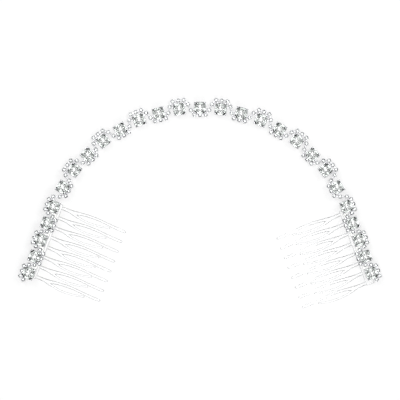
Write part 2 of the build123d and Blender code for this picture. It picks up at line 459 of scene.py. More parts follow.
@dataclass(frozen=True)
class SilverPlate:
    """Bright silver plate on cast brass: mirror-like, with the faint soft grain of the casting
    under it and polish that varies a little from place to place."""

    colour: str = "#D2D2D5"
    polished: float = 0.07
    worn: float = 0.2
    grain: float = 0.25 * MM
    drift: float = 1.6 * MM
    relief: float = 0.02 * MM

    def build(self) -> bpy.types.Material:
        """Make the material.

        Returns:
            The material.
        """
        material, tree = new_material("bright_silver_plate")
        where = add_node(tree, "ShaderNodeTexCoord").outputs["Object"]
        patches = add_node(tree, "ShaderNodeTexNoise", {"Scale": 1 / self.drift, "Detail": 3.0},
                           {"Vector": where})
        rough = add_node(tree, "ShaderNodeMapRange", {"To Min": self.polished, "To Max": self.worn},
                         {"Value": patches.outputs["Fac"]})
        grain = add_node(tree, "ShaderNodeTexNoise", {"Scale": 1 / self.grain, "Detail": 2.0},
                         {"Vector": where})
        bump = add_node(tree, "ShaderNodeBump", {"Strength": 0.12, "Distance": self.relief},
                        {"Height": grain.outputs["Fac"]})
        metal = add_node(tree, "ShaderNodeBsdfPrincipled",
                         {"Base Color": linear(self.colour), "Metallic": 1.0},
                         {"Roughness": rough.outputs["Result"], "Normal": bump.outputs["Normal"]})
        add_node(tree, "ShaderNodeOutputMaterial", links={"Surface": metal.outputs["BSDF"]})
        return material


@dataclass(frozen=True)
class MirrorFoil:
    """Silver mirror foil on a rhinestone's back: it throws the light back up through the stone."""

    colour: str = "#E4E7E5"
    roughness: float = 0.02
    wrinkle: float = 0.6 * MM
    relief: float = 0.02 * MM

    def build(self) -> bpy.types.Material:
        """Make the material.

        Returns:
            The material.
        """
        material, tree = new_material("mirror_foil_backing")
        where = add_node(tree, "ShaderNodeTexCoord").outputs["Object"]
        wrinkle = add_node(tree, "ShaderNodeTexNoise", {"Scale": 1 / self.wrinkle}, {"Vector": where})
        bump = add_node(tree, "ShaderNodeBump", {"Strength": 0.05, "Distance": self.relief},
                        {"Height": wrinkle.outputs["Fac"]})
        metal = add_node(tree, "ShaderNodeBsdfPrincipled",
                         {"Base Color": linear(self.colour), "Metallic": 1.0,
                          "Roughness": self.roughness},
                         {"Normal": bump.outputs["Normal"]})
        add_node(tree, "ShaderNodeOutputMaterial", links={"Surface": metal.outputs["BSDF"]})
        return material


@dataclass(frozen=True)
class LeadCrystal:
    """Machine-cut lead crystal: sharp flat facets that bend light strongly, with no colour."""

    colour: str = "#FFFFFF"
    ior: float = 1.58
    roughness: float = 0.0

    def build(self) -> bpy.types.Material:
        """Make the material.

        Returns:
            The material.
        """
        material, tree = new_material("cut_lead_crystal")
        glass = add_node(tree, "ShaderNodeBsdfPrincipled",
                         {"Base Color": linear(self.colour), "Roughness": self.roughness,
                          "IOR": self.ior, "Transmission Weight": 1.0})
        add_node(tree, "ShaderNodeOutputMaterial", links={"Surface": glass.outputs["BSDF"]})
        return material


@dataclass(frozen=True)
class ClearStyrene:
    """Injection-moulded clear polystyrene: glossy and nearly invisible from above. Its base colour
    carries painted shade: a grey tint that darkens as the surface turns away from the viewer, put in
    place of the grey lines that refraction and shadow give along its rounded edges, and it makes those lines
    wide enough to show."""

    name: str = "clear_moulded_polystyrene"
    colour: str = "#FFFFFF"
    # grey of the painted edge shade in the base colour
    edge: str = "#8A8D90"
    ior: float = 1.5
    roughness: float = 0.03
    flow: float = 4.0 * MM
    relief: float = 0.1 * MM
    # facing values where the painted edge shade starts and where it is full
    clear_to: float = 0.04
    painted_shade_from: float = 0.4

    def build(self) -> bpy.types.Material:
        """Make the material. Lamps shine through it, so it casts next to no shadow.

        Returns:
            The material.
        """
        material, tree = new_material(self.name)
        where = add_node(tree, "ShaderNodeTexCoord").outputs["Object"]
        ripple = add_node(tree, "ShaderNodeTexNoise", {"Scale": 1 / self.flow}, {"Vector": where})
        bump = add_node(tree, "ShaderNodeBump", {"Strength": 0.05, "Distance": self.relief},
                        {"Height": ripple.outputs["Fac"]})
        # painted shade: Layer Weight facing drives a ramp from the clear colour to the edge grey, so
        # surfaces turned away from the viewer are painted darker
        facing = add_node(tree, "ShaderNodeLayerWeight", {"Blend": 0.5})
        tone = add_node(tree, "ShaderNodeValToRGB", links={0: facing.outputs["Facing"]})
        for stop, at, colour in zip(tone.color_ramp.elements, (self.clear_to, self.painted_shade_from),
                                    (self.colour, self.edge)):
            stop.position, stop.color = at, linear(colour)
        plastic = add_node(tree, "ShaderNodeBsdfPrincipled",
                           {"Roughness": self.roughness, "IOR": self.ior, "Transmission Weight": 1.0},
                           {"Normal": bump.outputs["Normal"], "Base Color": tone.outputs["Color"]})
        open_to_lamps = add_node(tree, "ShaderNodeBsdfTransparent")
        ray = add_node(tree, "ShaderNodeLightPath")
        mix = add_node(tree, "ShaderNodeMixShader", links={
            0: ray.outputs["Is Shadow Ray"], 1: plastic.outputs["BSDF"], 2: open_to_lamps.outputs["BSDF"]})
        add_node(tree, "ShaderNodeOutputMaterial", links={"Surface": mix.outputs["Shader"]})
        return material


# ---- pieces ------------------------------------------------------------------------------------
@dataclass(frozen=True)
class Finishes:
    """Every finish of the object, made once."""

    silver: bpy.types.Material
    foil: bpy.types.Material
    crystal: bpy.types.Material
    plastic: bpy.types.Material
    glue: bpy.types.Material


def make_piece(name: str, shell: Shell, materials: list[bpy.types.Material], side: Side,
               crease: float | None) -> bpy.types.Object:
    """Put a shell into a mesh object.

    Args:
        name: the piece's name.
        shell: its surfaces, worked out for the right-hand side.
        materials: its finishes, in the order of the shell's finish numbers.
        side: the side that it belongs to, where left mirrors it.
        crease: the angle above which an edge stays sharp, or None for flat facets.

    Returns:
        The object, at the origin, with its faces pointing outwards.
    """
    points = np.concatenate(shell.points) * [side.value, 1, 1]
    mesh = bpy.data.meshes.new(name)
    mesh.from_pydata(points.tolist(), [], shell.faces)
    for material in materials:
        mesh.materials.append(material)
    mesh.polygons.foreach_set("material_index", np.array(shell.finish, np.int32))
    edit = bmesh.new()
    edit.from_mesh(mesh)
    bmesh.ops.remove_doubles(edit, verts=edit.verts, dist=1e-7)
    bmesh.ops.recalc_face_normals(edit, faces=edit.faces)
    edit.to_mesh(mesh)
    edit.free()
    mesh.polygons.foreach_set("use_smooth", np.full(len(mesh.polygons), crease is not None))
    if crease is not None:
        mesh.set_sharp_from_angle(angle=crease)
    mesh.update()
    piece = bpy.data.objects.new(name, mesh)
    bpy.context.scene.collection.objects.link(piece)
    return piece


def fit(piece: bpy.types.Object, node: str, body: str) -> None:
    """Let a piece stand for its node and ride on its body, and report it.

    Args:
        piece: the finished piece.
        node: the node that it stands for.
        body: the body that it moves with.
    """
    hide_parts(node)
    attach(piece, body)
    low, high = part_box(node)
    points = np.empty(len(piece.data.vertices) * 3)
    piece.data.vertices.foreach_get("co", points)
    points = points.reshape(-1, 3)
    miss = max(np.abs(points.min(0) - low).max(), np.abs(points.max(0) - high).max())
    log.info("%s: %d faces, box within %.2f mm of its node", piece.name, len(piece.data.polygons), miss / MM)


@dataclass(frozen=True)
class MetalWork:
    """Sizes of the metal: the large claw setting, the small cups, and the bars between them."""

    size: float = 6.3 * MM
    corner: float = 1.2 * MM
    gallery: float = 4.9 * MM
    gallery_corner: float = 0.9 * MM
    gallery_top: float = 1.9 * MM
    flare_top: float = 2.35 * MM
    rim: float = 2.95 * MM
    seat: float = 5.8 * MM
    floor: float = 0.4 * MM
    claw_radius: float = 0.3 * MM
    prong_radius: float = 0.15 * MM
    bar_width: float = 0.7 * MM
    bar_thickness: float = 0.5 * MM
    tongue_radius: float = 0.36 * MM
    tongue_thickness: float = 0.32 * MM
    tongue_length: float = 1.2 * MM
    bar_end: float = 0.3
    pin_radius: float = 0.18 * MM
    pin_top: float = 0.45 * MM
    pin_head_radius: float = 0.32 * MM
    pin_head_thickness: float = 0.17 * MM
    soft: float = 0.05 * MM

    def add_large_setting(self, shell: Shell, place: Place) -> None:
        """The square setting: rounded squares stacked up the outside, over the rim and down the
        inside, and four claws that rise at the corners and bend in over the stone.

        Args:
            shell: the shell that it joins.
            place: the cluster's place.
        """
        edge = 0.12 * MM
        profile = np.array([
            (self.gallery - 2 * edge, self.gallery_corner - edge, 0.0),
            (self.gallery, self.gallery_corner, edge),
            (self.gallery, self.gallery_corner, self.gallery_top - edge),
            (self.gallery + 2 * edge, self.gallery_corner + edge, self.gallery_top),
            (self.size - edge, self.corner, self.flare_top),
            (self.size, self.corner, self.flare_top + edge),
            (self.size, self.corner, self.rim - edge),
            (self.size - edge, self.corner - edge / 2, self.rim - 0.3 * edge),
            (self.size - 2 * edge, self.corner - edge, self.rim),
            (self.seat + edge, self.corner - edge, self.rim),
            (self.seat, self.corner - edge, self.rim - edge),
            (self.seat, self.corner - edge, self.flare_top + edge),
            (self.gallery - 4 * edge, self.gallery_corner - edge, self.gallery_top - edge),
            (self.gallery - 6 * edge, self.gallery_corner - edge, self.floor),
        ])
        points, blocks = skin(square_rings(profile))
        shell.add(place.put(points), blocks)
        # a claw's path up the corner: distance out along X and Y alike, and height
        out = np.array([2.15, 2.35, 2.72, 2.84, 2.84, 2.74, 2.56, 2.36, 2.3]) * MM
        up = np.array([1.3, 1.95, 2.3, 2.65, 2.95, 3.2, 3.34, 3.34, 3.3]) * MM
        swell = np.array([0.8, 0.95, 1.05, 1.05, 1.05, 1.05, 1.0, 0.75, 0.3]) * self.claw_radius
        for turn in np.arange(4) * pi / 2 + pi / 4:
            outward = np.array([cos(turn), sin(turn), 0.0])
            path = outward * (out * np.sqrt(2))[:, None] + UP * up[:, None]
            points, blocks = skin(tube(path, swell, np.cross(UP, outward), 8))
            shell.add(place.put(points), blocks)

    def add_small_cup(self, shell: Shell, place: Place, spot: np.ndarray, turn: float) -> None:
        """A small round cup turned up its outside, over its rim and into its seat, with four prongs.

        Args:
            shell: the shell that it joins.
            place: the cluster's place.
            spot: X and Y of the cup in that place.
            turn: angle of its first prong.
        """
        radii = np.array([0.9, 1.05, 1.05, 1.15, 1.15, 1.05, 0.99, 0.95, 0.95]) * MM
        heights = np.array([0.0, 0.15, 0.95, 1.3, 1.42, 1.66, 1.7, 1.62, 1.18]) * MM
        middle = np.append(spot, 0.0)
        points, blocks = skin(turned(np.column_stack([radii, heights]), 20))
        shell.add(place.put(points + middle), blocks)
        out = np.array([1.06, 1.1, 1.04, 0.9, 0.8]) * MM
        up = np.array([1.3, 1.66, 1.86, 1.94, 1.93]) * MM
        swell = np.array([1.0, 1.15, 1.1, 0.9, 0.4]) * self.prong_radius
        for angle in turn + np.arange(4) * pi / 2:
            outward = np.array([cos(angle), sin(angle), 0.0])
            path = middle + outward * out[:, None] + UP * up[:, None]
            points, blocks = skin(tube(path, swell, np.cross(UP, outward), 6))
            shell.add(place.put(points), blocks)

    def add_bars(self, shell: Shell, place: Place, spots: np.ndarray) -> None:
        """Flat bars from each small cup to the next one, and from each to the large setting.

        Args:
            shell: the shell that they join.
            place: the cluster's place.
            spots: X and Y of the cups in that place.
        """
        feet = np.column_stack([spots, np.zeros(len(spots))])
        pairs = [*zip(feet[:-1], feet[1:]), *((foot, foot * self.bar_end) for foot in feet)]
        for start, end in pairs:
            points, blocks = skin(bar(start, end, self.bar_width, self.bar_thickness))
            shell.add(place.put(points), blocks)

    def add_cluster(self, shell: Shell, line: ChainLine, index: int) -> None:
        """One cluster's large setting, small cups and bars.

        Args:
            shell: the shell that they join.
            line: the chain's line.
            index: the cluster, counted from the crown.
        """
        place, spots = line.cluster(index), line.cup_spots(index)
        self.add_large_setting(shell, place)
        self.add_bars(shell, place, spots)
        for spot in spots:
            self.add_small_cup(shell, place, spot, np.arctan2(spot[1], spot[0]) + pi / 4)

    def add_tongue(self, shell: Shell, line: ChainLine, index: int, flip: int = 1) -> None:
        """The tongue with a round nose, and its upright pin with a domed head.

        Args:
            shell: the shell that it joins.
            line: the chain's line.
            index: the cluster that it belongs to.
            flip: minus one for the tongue on the crown's left.
        """
        place, side = line.pivot(index), np.array([flip, 1, 1])
        foot = -line.pivot_height
        end = np.array([0.0, 0.0, foot])
        start = end - [self.tongue_length, 0.0, 0.0]
        points, blocks = skin(bar(start, end, 2 * self.tongue_radius, self.tongue_thickness))
        shell.add(place.put(points) * side, blocks)
        nose = np.array([
            (self.tongue_radius - self.soft, foot),
            (self.tongue_radius, foot + self.soft),
            (self.tongue_radius, foot + self.tongue_thickness - self.soft),
            (self.tongue_radius - self.soft, foot + self.tongue_thickness),
            (self.pin_radius, foot + self.tongue_thickness),
            (self.pin_radius, self.pin_top),
            (self.pin_head_radius, self.pin_top),
            (self.pin_head_radius, self.pin_top + 0.4 * self.pin_head_thickness),
            (0.8 * self.pin_head_radius, self.pin_top + 0.8 * self.pin_head_thickness),
            (0.4 * self.pin_head_radius, self.pin_top + self.pin_head_thickness),
        ])
        points, blocks = skin(turned(nose, 16))
        shell.add(place.put(points) * side, blocks)


@dataclass(frozen=True)
class CutStones:
    """Sizes of the crystals: flat facets between rings of corners, foil below the girdle."""

    half: float = 2.84 * MM
    sides: int = 16
    small_radius: float = 0.93 * MM
    small_sides: int = 8
    tilt: float = radians(1.6)
    small_tilt: float = radians(4.0)
    glass: int = 0
    foil: int = 1

    def add_cut(self, shell: Shell, rings: list[np.ndarray], foil_rings: int) -> None:
        """Facets over a stack of rings with the same number of corners. Where a ring is turned by
        half a step from the one below it, triangles join them, and elsewhere quads do.

        Args:
            shell: the shell that they join.
            rings: rings of corners from the culet up to the table.
            foil_rings: how many of the lowest steps have the foil.
        """
        around = len(rings[0])
        here = np.arange(around)
        after = np.roll(here, -1)
        points = np.concatenate([*rings, rings[0].mean(axis=0)[None]])
        culet = np.full(around, len(rings) * around)
        blocks, finishes = [np.stack([after, here, culet], -1)], [self.foil]
        for step in range(len(rings) - 1):
            low, high = step * around, (step + 1) * around
            swing = self.half_turned(rings[step], rings[step + 1])
            if swing == 0:
                facets = [np.stack([low + here, low + after, high + after, high + here], -1)]
            elif swing > 0:
                facets = [np.stack([low + here, low + after, high + here], -1),
                          np.stack([low + after, high + after, high + here], -1)]
            else:
                facets = [np.stack([low + here, high + after, high + here], -1),
                          np.stack([low + here, low + after, high + after], -1)]
            blocks += facets
            finishes += [self.foil if step < foil_rings else self.glass] * len(facets)
        table = ((len(rings) - 1) * around + here)[None]
        shell.add(points, [*blocks, table], [*finishes, self.glass])

    @staticmethod
    def half_turned(low: np.ndarray, high: np.ndarray) -> int:
        """Which way the upper ring is turned from the lower one by half a step, by the sine of the
        angle between their first corners.

        Args:
            low: corners of the lower ring.
            high: corners of the upper ring.

        Returns:
            1, -1, or 0 where the two rings stand in line.
        """
        least_sine = 0.05
        first, second = low[0] - low.mean(axis=0), high[0] - high.mean(axis=0)
        swing = first[0] * second[1] - first[1] * second[0]
        limit = least_sine * np.linalg.norm(first) * np.linalg.norm(second)
        return 0 if abs(swing) < limit else int(np.sign(swing))

    @staticmethod
    def lean(points: np.ndarray, turn: float, tip: np.ndarray) -> np.ndarray:
        """Points turned about Z and then tipped a little: the height gains a share of X and of Y.

        Args:
            points: the points.
            turn: angle about Z.
            tip: the shares of X and of Y.

        Returns:
            The moved points.
        """
        c, s = cos(turn), sin(turn)
        spun = points @ np.array([[c, s, 0], [-s, c, 0], [0, 0, 1]])
        height = spun[:, 2] + spun[:, 0] * tip[0] + spun[:, 1] * tip[1]
        return np.column_stack([spun[:, :2], height])

    def cushion_ring(self, half: float, height: float, power: float, shift: float) -> np.ndarray:
        """A ring of corners on a superellipse: the radius at an angle is the half width over the
        sum of the cosine and sine, each to the power, to the power's inverse.

        Args:
            half: half width.
            height: height of the ring.
            power: 2 for a circle, and more for a squarer cushion.
            shift: how far the ring is turned, in steps.

        Returns:
            The ring's corners.
        """
        angle = (np.arange(self.sides) + shift) * 2 * pi / self.sides
        radius = half / (np.abs(np.cos(angle)) ** power + np.abs(np.sin(angle)) ** power) ** (1 / power)
        return np.column_stack([radius * np.cos(angle), radius * np.sin(angle), np.full(self.sides, height)])

    def add_large(self, shell: Shell, place: Place, dice: np.random.Generator) -> None:
        """A square cushion-cut crystal.

        Args:
            shell: the shell that it joins.
            place: the cluster's place.
            dice: where its small turn and tip come from.
        """
        turn = dice.uniform(-1, 1) * self.tilt
        tip = dice.uniform(-1, 1, 2) * self.tilt
        middle = np.array([0, 0, 2.6 * MM])
        rings = [
            self.cushion_ring(0.12 * self.half, 0.62 * MM, 2.0, 0.0),
            self.cushion_ring(0.56 * self.half, 1.35 * MM, 2.6, 0.5),
            self.cushion_ring(self.half, 2.52 * MM, 5.0, 0.0),
            self.cushion_ring(self.half, 2.72 * MM, 5.0, 0.0),
            self.cushion_ring(0.86 * self.half, 3.25 * MM, 4.0, 0.5),
            self.cushion_ring(0.74 * self.half, 3.6 * MM, 3.4, 0.0),
            self.cushion_ring(0.6 * self.half, 3.86 * MM, 3.0, 0.5),
        ]
        rings = [place.put(self.lean(ring - middle, turn, tip) + middle) for ring in rings]
        self.add_cut(shell, rings, foil_rings=2)

    def add_small(self, shell: Shell, place: Place, spot: np.ndarray, dice: np.random.Generator) -> None:
        """A small round crystal: octagonal rings from the culet to the table.

        Args:
            shell: the shell that it joins.
            place: the cluster's place.
            spot: X and Y of its cup in that place.
            dice: where its turn and small tip come from.
        """
        turn = dice.uniform(0, pi)
        tip = dice.uniform(-1, 1, 2) * self.small_tilt
        step = 2 * pi / self.small_sides
        # share of the radius, height in millimetres, and turn in steps
        profile = [(0.3, 1.2, 0), (1.0, 1.5, 0), (1.0, 1.62, 0), (0.84, 1.84, 0.5), (0.55, 2.06, 0)]
        middle = np.array([0, 0, 1.55 * MM])
        rings = [
            turned(np.array([(wide * self.small_radius, high * MM)]), self.small_sides, shift * step)[0]
            for wide, high, shift in profile
        ]
        at = np.append(spot, 0.0)
        rings = [place.put(self.lean(ring - middle, turn, tip) + middle + at) for ring in rings]
        self.add_cut(shell, rings, foil_rings=1)

    def add_cluster(self, shell: Shell, line: ChainLine, index: int, dice: np.random.Generator) -> None:
        """One cluster's large crystal and its five small ones.

        Args:
            shell: the shell that they join.
            line: the chain's line.
            index: the cluster, counted from the crown.
            dice: where their turns and tips come from.
        """
        place = line.cluster(index)
        self.add_large(shell, place, dice)
        for spot in line.cup_spots(index):
            self.add_small(shell, place, spot, dice)


@dataclass(frozen=True)
class SwivelLink:
    """Sizes of the swivel link: an eye on the upright pin, and a knobbed cross pin."""

    bore: float = 0.22 * MM
    eye_radius: float = 0.38 * MM
    eye_bottom: float = -0.35 * MM
    eye_top: float = 0.4 * MM
    pin_radius: float = 0.18 * MM
    pin_end: float = 1.12 * MM
    knob_radius: float = 0.28 * MM
    knob_thickness: float = 0.16 * MM
    pin_root: float = 0.3 * MM
    soft: float = 0.05 * MM

    def add(self, shell: Shell, place: Place) -> None:
        """The eye, a ring turned about the upright pin, and the cross pin, turned about X.

        Args:
            shell: the shell that they join.
            place: the link's place.
        """
        soft = self.soft
        section = np.array([
            (self.bore, self.eye_bottom + soft),
            (self.bore + soft, self.eye_bottom),
            (self.eye_radius - soft, self.eye_bottom),
            (self.eye_radius, self.eye_bottom + soft),
            (self.eye_radius, self.eye_top - soft),
            (self.eye_radius - soft, self.eye_top),
            (self.bore + soft, self.eye_top),
            (self.bore, self.eye_top - soft),
        ])
        points, blocks = hoop(turned(section, 20))
        shell.add(place.put(points), blocks)
        neck = self.pin_end - self.knob_thickness
        profile = np.array([
            (self.pin_radius, self.pin_root),
            (self.pin_radius, neck),
            (self.knob_radius - soft, neck),
            (self.knob_radius, neck + soft),
            (self.knob_radius, self.pin_end - soft),
            (self.knob_radius - soft, self.pin_end),
        ])
        lying = turned(profile, 14)[..., [2, 0, 1]]
        points, blocks = skin(lying)
        shell.add(place.put(points), blocks)


@dataclass(frozen=True)
class SideComb:
    """Sizes of a clear comb: a rounded spine and eight forked teeth that arch over the table."""

    teeth: int = 8
    pitch: float = 5.44 * MM
    root: float = 4.4 * MM
    spine_width: float = 4.3 * MM
    spine_thickness: float = 1.6 * MM
    overhang: float = 1.5 * MM
    edge: float = 0.5 * MM
    sink: float = 1.0 * MM
    crotch: float = 9.2 * MM
    crotch_round: float = 0.5 * MM
    crotch_x: float = 0.975 * MM
    short_reach: float = 27.0 * MM
    long_reach: float = 35.4 * MM
    long_tip: float = 0.8 * MM
    short_tip: float = 0.65 * MM
    blend: float = 2.0 * MM
    columns: int = 8
    squareness: float = 2.1
    crease: float = radians(50)

    def first_place(self, line: ChainLine, side: Side) -> Place:
        """Place on the table at the root of the comb's first tooth, with X along the spine.

        Args:
            line: the chain's line.
            side: the comb's side, because the two combs sit differently along the chain.

        Returns:
            The place.
        """
        shift = {Side.LEFT: -1.0 * MM, Side.RIGHT: 2.6 * MM}[side]
        first = line.cluster(line.last_free + 1)
        start = (first.origin + first.x * shift - first.y * self.root) * [1, 1, 0]
        return place_along(start, first.x, UP)

    def heights(self, reach: np.ndarray) -> tuple[np.ndarray, np.ndarray]:
        """Height of a tooth: a parabola through three heights of its underside, and another through
        three of its top.

        Args:
            reach: distances from the tooth's root.

        Returns:
            The middle height and the half thickness at each distance.
        """
        at = np.array([-self.sink, 17.0 * MM, 35.6 * MM])
        low = np.polyval(np.polyfit(at, np.array([0.15, 1.7, 0.0]) * MM, 2), reach)
        high = np.polyval(np.polyfit(at, np.array([1.4, 2.85, 0.8]) * MM, 2), reach)
        return (low + high) / 2, (high - low) / 2

    def edges(self, reach: np.ndarray) -> list[np.ndarray]:
        """X of the tooth's four edges: the long prong's two and the short prong's two. Before the
        crotch the inner two are one line down the middle. Each edge is a smooth curve through
        knots of reach and X in millimetres.

        Args:
            reach: distances from the tooth's root.

        Returns:
            The X of each edge at each distance.
        """
        outer_long, inner_long, inner_short, outer_short, seam = (
            through(np.array(knots) * MM, reach) for knots in (
                ((-1.0, -0.65), (0, -0.65), (4.5, -0.6), (9, -0.95),
                 (17, -1.43), (27, -0.75), (34.6, -0.2), (35.4, -0.1)),
                ((9.7, 0.6), (12.5, 0.2), (18, -0.05), (25, 0.35), (29, 0.85), (34.6, 1.0), (35.4, 0.9)),
                ((9.7, 1.35), (14, 2.05), (18, 2.1), (22.5, 1.7), (26.3, 0.85), (27.0, 0.7)),
                ((-1.0, 1.05), (0, 1.05), (4, 1.3), (8.5, 2.3),
                 (15, 3.15), (21, 2.9), (26.4, 1.8), (27.0, 1.7)),
                ((-1.0, 0.2), (0, 0.2), (4.5, 0.4), (9.2, 0.975), (9.7, 0.975)),
            )
        )
        before_round = (self.crotch + self.crotch_round - reach) / self.crotch_round
        opening = round_end(0, 1, np.clip(before_round, 0, 1))
        inner_long = self.crotch_x + (inner_long - self.crotch_x) * opening
        inner_short = self.crotch_x + (inner_short - self.crotch_x) * opening
        forked = reach > self.crotch
        inner_long = np.where(forked, inner_long, seam)
        inner_short = np.where(forked, inner_short, seam)
        return [outer_long, inner_long, inner_short, outer_short]

    def rows(self, end: float, tip: float) -> np.ndarray:
        """Distances from the root, close together where the crotch and the tip are round.

        Args:
            end: reach of the prong.
            tip: length of its round tip.

        Returns:
            The distances, from inside the spine outwards.
        """
        ease = (1 - np.cos(np.linspace(0, pi / 2, 7))) * self.crotch_round
        stem = np.linspace(-self.sink, self.crotch - 0.4 * MM, 12)
        prong = np.linspace(self.crotch + self.crotch_round, end - tip, 26)
        nose = end - tip + tip * np.sin(np.linspace(0, pi / 2, 8))
        return np.concatenate([stem, self.crotch + ease[:-1], prong, nose[1:]])

    def prong(self, end: float, tip: float, first: int) -> np.ndarray:
        """Rings round one half of the stem and its prong. Each ring goes out over the top and back
        under the bottom. Its height over the middle is the half thickness times a superellipse
        of the way across, which passes from the whole stem's width to the prong's own.

        Args:
            end: reach of the prong.
            tip: length of its round tip.
            first: number of its first edge.

        Returns:
            Rings of points, with Y towards the chain.
        """
        reach = self.rows(end, tip)
        sides = self.edges(reach)
        close = round_end(end - tip, end, reach)
        left, right = sides[first], sides[first + 1]
        centre = (left + right) / 2
        left, right = centre + (left - centre) * close, centre + (right - centre) * close
        across = (1 - np.cos(np.linspace(0, pi, self.columns + 1))) / 2
        x = left[:, None] + (right - left)[:, None] * across
        whole = np.maximum(sides[3] - sides[0], 1e-9)[:, None]
        share = np.clip((x - sides[0][:, None]) / whole, 0, 1)
        power = self.squareness
        stem = np.clip(1 - np.abs(2 * share - 1) ** power, 0, 1) ** (1 / power)
        own = np.clip(1 - np.abs(2 * across - 1) ** power, 0, 1) ** (1 / power)
        fork = smooth_step(self.crotch - self.blend, self.crotch, reach)[:, None]
        middle, half = self.heights(reach)
        rise = half[:, None] * ((1 - fork) * stem + fork * own) * close[:, None]
        y = -np.broadcast_to(reach[:, None], x.shape)
        top = np.stack([x, y, middle[:, None] + rise], axis=-1)
        bottom = np.stack([x, y, middle[:, None] - rise], axis=-1)
        return np.stack([top, bottom])

    @staticmethod
    def sheets(pair: np.ndarray) -> tuple[np.ndarray, list[np.ndarray]]:
        """A top sheet and a bottom sheet over the same grid, which meet along the edges where their
        heights are equal, and a closing strip at the first row.

        Args:
            pair: points of the two sheets, by sheet, row, column and coordinate.

        Returns:
            The points and the blocks of faces.
        """
        _, rows, columns, _ = pair.shape
        here = np.arange(2 * rows * columns).reshape(2, rows, columns)
        top, bottom = here
        over = np.stack([top[:-1, :-1], top[1:, :-1], top[1:, 1:], top[:-1, 1:]], -1).reshape(-1, 4)
        under = np.stack([bottom[:-1, :-1], bottom[:-1, 1:], bottom[1:, 1:], bottom[1:, :-1]], -1)
        under = under.reshape(-1, 4)
        back = np.stack([top[0, :-1], top[0, 1:], bottom[0, 1:], bottom[0, :-1]], -1)
        return pair.reshape(-1, 3), [over, under, back]

    def spine_rings(self) -> np.ndarray:
        """Rings along the spine: a rounded rectangle that draws in round each end.

        Returns:
            Array of ring, point around it, and coordinate.
        """
        length = (self.teeth - 1) * self.pitch + 2 * self.overhang
        bend = np.linspace(0, pi / 2, 5)
        inset = np.concatenate([self.edge * (1 - np.sin(bend)), self.edge * (1 - np.sin(bend[::-1]))])
        ends = self.edge * (1 - np.cos(bend))
        along = np.concatenate([ends, length - ends[::-1]]) - self.overhang
        quarter = np.arange(4) * pi / 2
        angle = (quarter[:, None] + bend[None, :]).ravel()
        corner = np.repeat(quarter + pi / 4, len(bend))
        wide = np.sign(np.cos(corner)) * (self.spine_width / 2 - self.edge)
        high = np.sign(np.sin(corner)) * (self.spine_thickness / 2 - self.edge)
        radius = (self.edge - inset)[:, None]
        y = self.spine_width / 2 + wide + radius * np.cos(angle)
        z = self.spine_thickness / 2 + high + radius * np.sin(angle)
        x = np.broadcast_to(along[:, None], y.shape)
        return np.stack([x, y, z], axis=-1)

    def build(self, line: ChainLine, side: Side, finishes: Finishes) -> bpy.types.Object:
        """Make the comb: the teeth are joined to the spine so that the clear plastic has no walls
        inside it.

        Args:
            line: the chain's line.
            side: the comb's side.
            finishes: the object's finishes.

        Returns:
            The comb.
        """
        place = self.first_place(line, side)
        teeth, spine = Shell(), Shell()
        for count in range(self.teeth):
            shift = np.array([count * self.pitch, 0.0, 0.0])
            for end, tip, first in (
                (self.long_reach, self.long_tip, 0),
                (self.short_reach, self.short_tip, 2),
            ):
                points, blocks = self.sheets(self.prong(end, tip, first))
                teeth.add(place.put(points + shift), blocks)
        points, blocks = skin(self.spine_rings())
        spine.add(place.put(points), blocks)
        name = f"{side.word}_clear_comb"
        piece = make_piece(name, spine, [finishes.plastic], side, self.crease)
        tool = make_piece(f"{side.word}_teeth", teeth, [finishes.plastic], side, self.crease)
        union = piece.modifiers.new("join_teeth", "BOOLEAN")
        union.operation, union.solver, union.object = "UNION", "EXACT", tool
        graph = bpy.context.evaluated_depsgraph_get()
        joined = bpy.data.meshes.new_from_object(piece.evaluated_get(graph))
        piece.modifiers.clear()
        piece.data = joined
        joined.name = name
        bpy.data.objects.remove(tool)
        joined.polygons.foreach_set("use_smooth", np.ones(len(joined.polygons), bool))
        joined.set_sharp_from_angle(angle=self.crease)
        fit(piece, f"comb_{side.word}", f"comb_{side.word}")
        return piece


@dataclass(frozen=True)
class GlueBed:
    """The clear bed between the spine and the chain: a flat strip with soft, uneven edges."""

    width: float = 3.4 * MM
    thickness: float = 0.3 * MM
    overlap: float = 2.45 * MM
    shrink: float = 0.92
    slow_wave: tuple[float, float] = (0.05, 1.9 * MM)
    fast_wave: tuple[float, float] = (0.03, 0.7 * MM)
    end_power: int = 30
    edge_power: float = 0.5
    crease: float = radians(60)

    def build(self, line: ChainLine, side: Side, finishes: Finishes) -> bpy.types.Object:
        """Make the bed: a superellipse carried along the chain, its half width wandering by the sum
        of two sines, and rounded off at both ends.

        Args:
            line: the chain's line.
            side: the comb's side.
            finishes: the object's finishes.

        Returns:
            The bed.
        """
        first = line.cluster(line.last_free + 1)
        length = (line.last_cluster - line.last_free - 1) * line.tail_pitch + 2 * self.overlap
        share = (1 - np.cos(np.linspace(0, pi, 60))) / 2
        along = share * length
        slow, fast = self.slow_wave, self.fast_wave
        wander = slow[0] * np.sin(along / slow[1]) + fast[0] * np.sin(along / fast[1] + 1)
        ends = np.sqrt(np.clip(1 - np.abs(2 * share - 1) ** self.end_power, 1e-4, 1))
        half = self.width / 2 * (self.shrink + wander) * ends
        angle = np.arange(16) * 2 * pi / 16
        side_way = np.sign(np.cos(angle)) * np.abs(np.cos(angle)) ** self.edge_power
        rise = np.sign(np.sin(angle)) * np.abs(np.sin(angle)) ** self.edge_power * self.thickness / 2
        y = -self.width / 2 + half[:, None] * side_way
        x = np.broadcast_to((along - self.overlap)[:, None], y.shape)
        z = np.broadcast_to(rise - self.thickness / 2, y.shape)
        shell = Shell()
        points, blocks = skin(np.stack([x, y, z], axis=-1))
        shell.add(first.put(points), blocks)
        piece = make_piece(f"{side.word}_glue_bed", shell, [finishes.glue], side, self.crease)
        fit(piece, f"adhesive_{side.word}", f"comb_{side.word}")
        return piece


